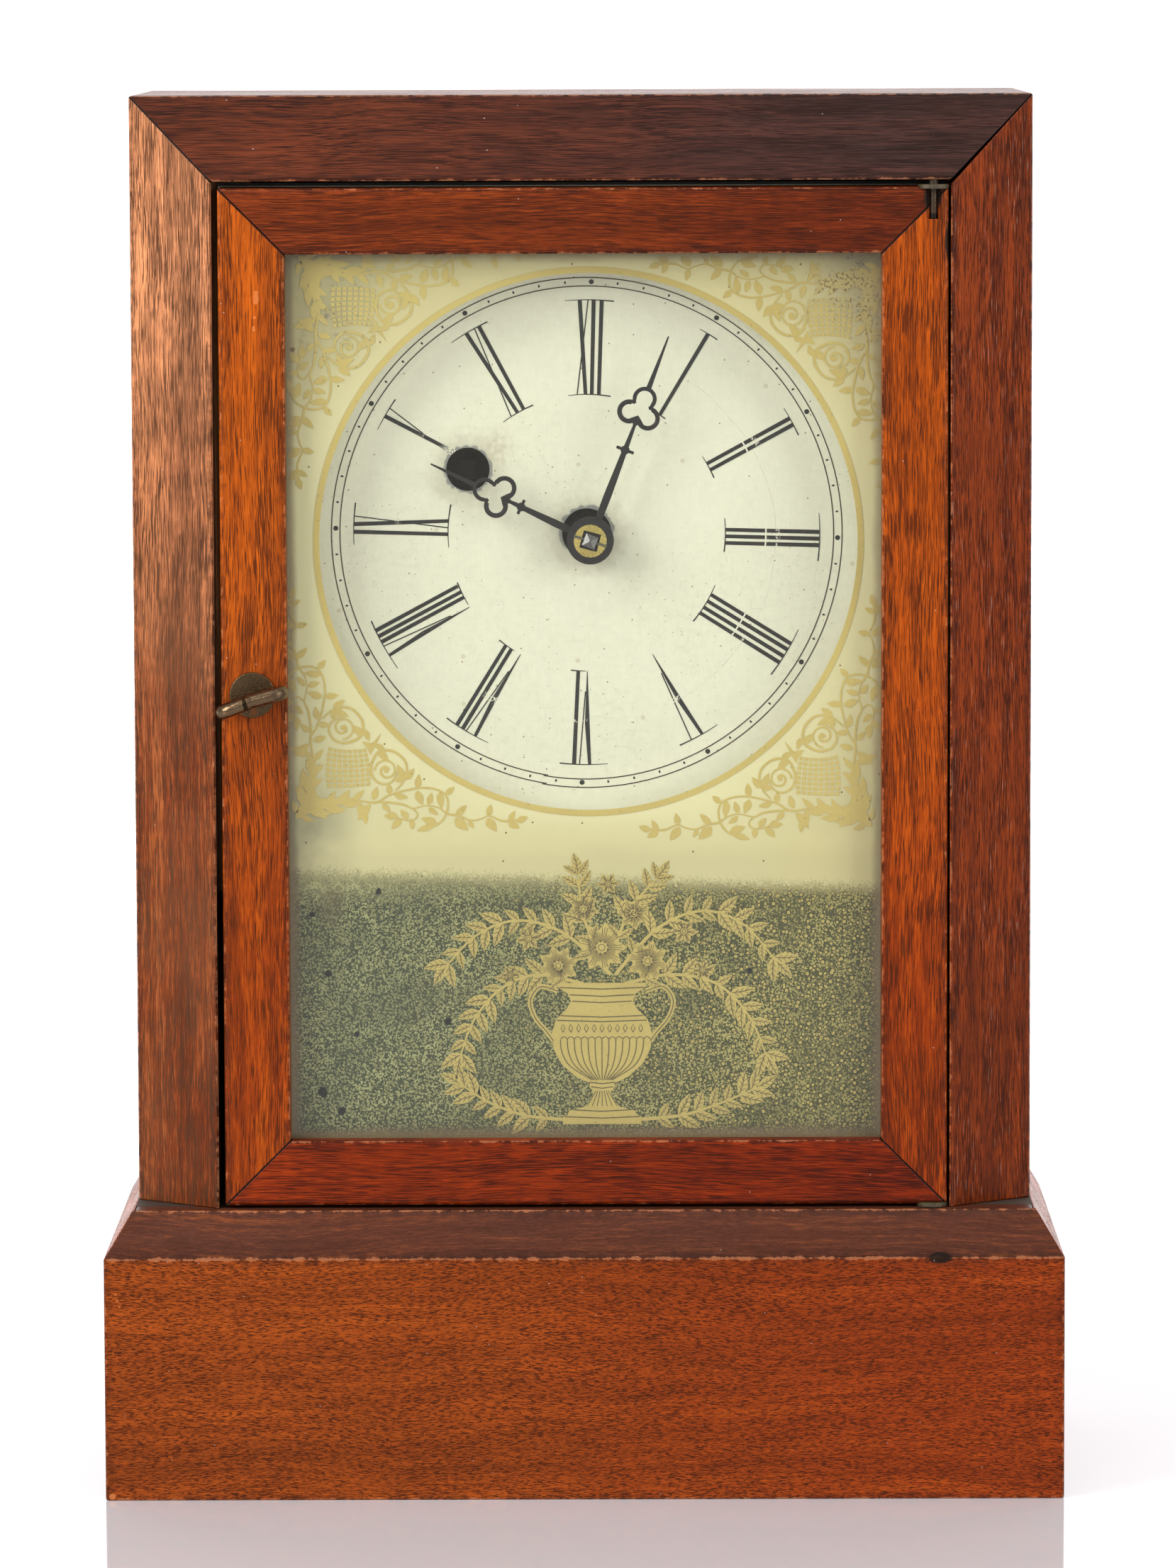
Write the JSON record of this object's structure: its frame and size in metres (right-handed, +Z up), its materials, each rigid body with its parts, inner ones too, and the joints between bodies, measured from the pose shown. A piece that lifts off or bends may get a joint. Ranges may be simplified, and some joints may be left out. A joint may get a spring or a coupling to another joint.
{
  "type": "cottage clock",
  "caption": "Wooden shelf clock with a hipped base, a canted frame, a hinged glazed door with a turning latch, a painted dial and a spring-driven pendulum movement.",
  "frame": {"origin": "middle of the base, on the surface that the clock stands on", "axes": "+X to the viewer's right, +Y from the front to the rear, +Z up"},
  "size_m": [0.209, 0.1, 0.305],
  "materials": {
    "case_veneer": "old mahogany veneer, shellac polish, worn",
    "door_wood": "orange-brown mahogany, shellac polish",
    "carcase_wood": "bare pine, darkened",
    "dull_iron": "dark, slightly rusty",
    "washer_metal": "grey-green tarnish",
    "dial_paint": "cream paint, fine crackle",
    "tablet_glass": "clear above, painted on the inner side below and at the corners",
    "putty": "dry, dusty",
    "latch_bronze": "dark bronze tarnish, polished where handled",
    "bright_brass": "bright",
    "movement_brass": "dull gold",
    "steel": "dull grey",
    "spring_steel": "dark blue-grey",
    "hand_iron": "blackened, pitted"
  },
  "bodies": {
    "case": {"side_board_left": "case_veneer", "side_board_right": "case_veneer", "top_board": "case_veneer", "floor_board": "carcase_wood", "back_board": "carcase_wood", "back_nails": "dull_iron", "frame_top_rail": "case_veneer", "frame_stile_left": "case_veneer", "frame_stile_right": "case_veneer", "plinth_front": "case_veneer", "plinth_left": "case_veneer", "plinth_right": "case_veneer", "dial_strips": "carcase_wood", "movement_cleats": "carcase_wood", "dial_plate": "dial_paint", "dial_nails": "dull_iron", "hinge_pins": "dull_iron", "front_plate": "movement_brass", "back_plate": "movement_brass", "pillars": "movement_brass", "pillar_nuts": "movement_brass", "movement_screws": "dull_iron", "suspension_post": "movement_brass", "mainspring": "spring_steel"},
    "door": {"door_top_rail": "door_wood", "door_bottom_rail": "door_wood", "door_stile_left": "door_wood", "door_stile_right": "door_wood", "door_glass": "tablet_glass", "glazing_putty": "putty", "hinge_washers": "washer_metal", "latch_rose": "latch_bronze", "rose_pin": "bright_brass"},
    "latch": {"latch_spindle": "latch_bronze", "latch_ring": "latch_bronze", "latch_tongue": "latch_bronze"},
    "centre_train": {"centre_arbor": "steel", "centre_pinion": "movement_brass", "centre_wheel": "movement_brass", "minute_pinion": "movement_brass", "minute_hand": "hand_iron", "hand_washer": "bright_brass", "taper_pin": "steel"},
    "great_wheel_body": {"great_wheel": "movement_brass", "click_spring": "steel"},
    "click_body": {"click": "steel"},
    "winding": {"winding_arbor": "steel", "ratchet_wheel": "steel"},
    "third_train": {"third_arbor": "steel", "third_wheel": "movement_brass"},
    "escape_train": {"escape_arbor": "steel", "escape_wheel": "movement_brass"},
    "minute_wheel_body": {"minute_wheel": "movement_brass"},
    "hour_train": {"hour_wheel": "movement_brass", "hour_hand": "hand_iron"},
    "verge_body": {"verge": "steel", "crutch": "movement_brass"},
    "pendulum": {"pendulum_rod": "movement_brass", "pendulum_bob": "movement_brass", "rating_nut": "movement_brass"}
  },
  "joints": [
    {"name": "door_hinge", "type": "hinge", "parent": "case", "child": "door", "pos_m": [0.076, -0.0397, 0.063], "axis": [0, 0, 1], "range_deg": [0, 110]},
    {"name": "latch_turn", "type": "hinge", "parent": "door", "child": "latch", "pos_m": [-0.0715, -0.0416, 0.175], "axis": [0, -1, 0], "range_deg": [0, 71.4]},
    {"name": "centre_turn", "type": "hinge", "parent": "case", "child": "centre_train", "pos_m": [0.0018, 0, 0.2083], "axis": [0, 1, 0], "continuous": true},
    {"name": "great_wheel_turn", "type": "hinge", "parent": "case", "child": "great_wheel_body", "pos_m": [-0.02509, 0.005, 0.22321], "axis": [0, 1, 0], "continuous": true},
    {"name": "third_turn", "type": "hinge", "parent": "case", "child": "third_train", "pos_m": [0.02255, 0.01, 0.21911], "axis": [0, 1, 0], "continuous": true},
    {"name": "escape_turn", "type": "hinge", "parent": "case", "child": "escape_train", "pos_m": [0.0095, 0.01, 0.2315], "axis": [0, 1, 0], "continuous": true},
    {"name": "minute_wheel_turn", "type": "hinge", "parent": "case", "child": "minute_wheel_body", "pos_m": [-0.0052, -0.012, 0.19618], "axis": [0, 1, 0], "continuous": true},
    {"name": "hour_turn", "type": "hinge", "parent": "case", "child": "hour_train", "pos_m": [0.0018, -0.02, 0.2083], "axis": [0, 1, 0], "continuous": true},
    {"name": "winding_turn", "type": "hinge", "parent": "great_wheel_body", "child": "winding", "pos_m": [-0.02509, 0.003, 0.22321], "axis": [0, 1, 0], "range_deg": [0, 1440]},
    {"name": "click_lift", "type": "hinge", "parent": "great_wheel_body", "child": "click_body", "pos_m": [-0.01572, 0.003, 0.23857], "axis": [0, -1, 0], "range_deg": [0, 8], "stiffness_Nm_per_rad": 0.01, "springref_deg": -5.73},
    {"name": "pendulum_swing", "type": "hinge", "parent": "case", "child": "pendulum", "pos_m": [0.0095, -0.007, 0.2581], "axis": [0, 1, 0], "range_deg": [-3, 3]},
    {"name": "verge_rock", "type": "hinge", "parent": "case", "child": "verge_body", "pos_m": [0.0095, 0, 0.2481], "axis": [0, 1, 0], "range_deg": [-4, 4]}
  ],
  "couplings": [
    {"joint": "great_wheel_turn", "follows": "centre_turn", "ratio": -0.13333},
    {"joint": "third_turn", "follows": "centre_turn", "ratio": -12},
    {"joint": "escape_turn", "follows": "centre_turn", "ratio": 132},
    {"joint": "minute_wheel_turn", "follows": "centre_turn", "ratio": -0.33333},
    {"joint": "hour_turn", "follows": "centre_turn", "ratio": 0.083333},
    {"joint": "verge_rock", "follows": "pendulum_swing", "ratio": 1.3333}
  ]
}
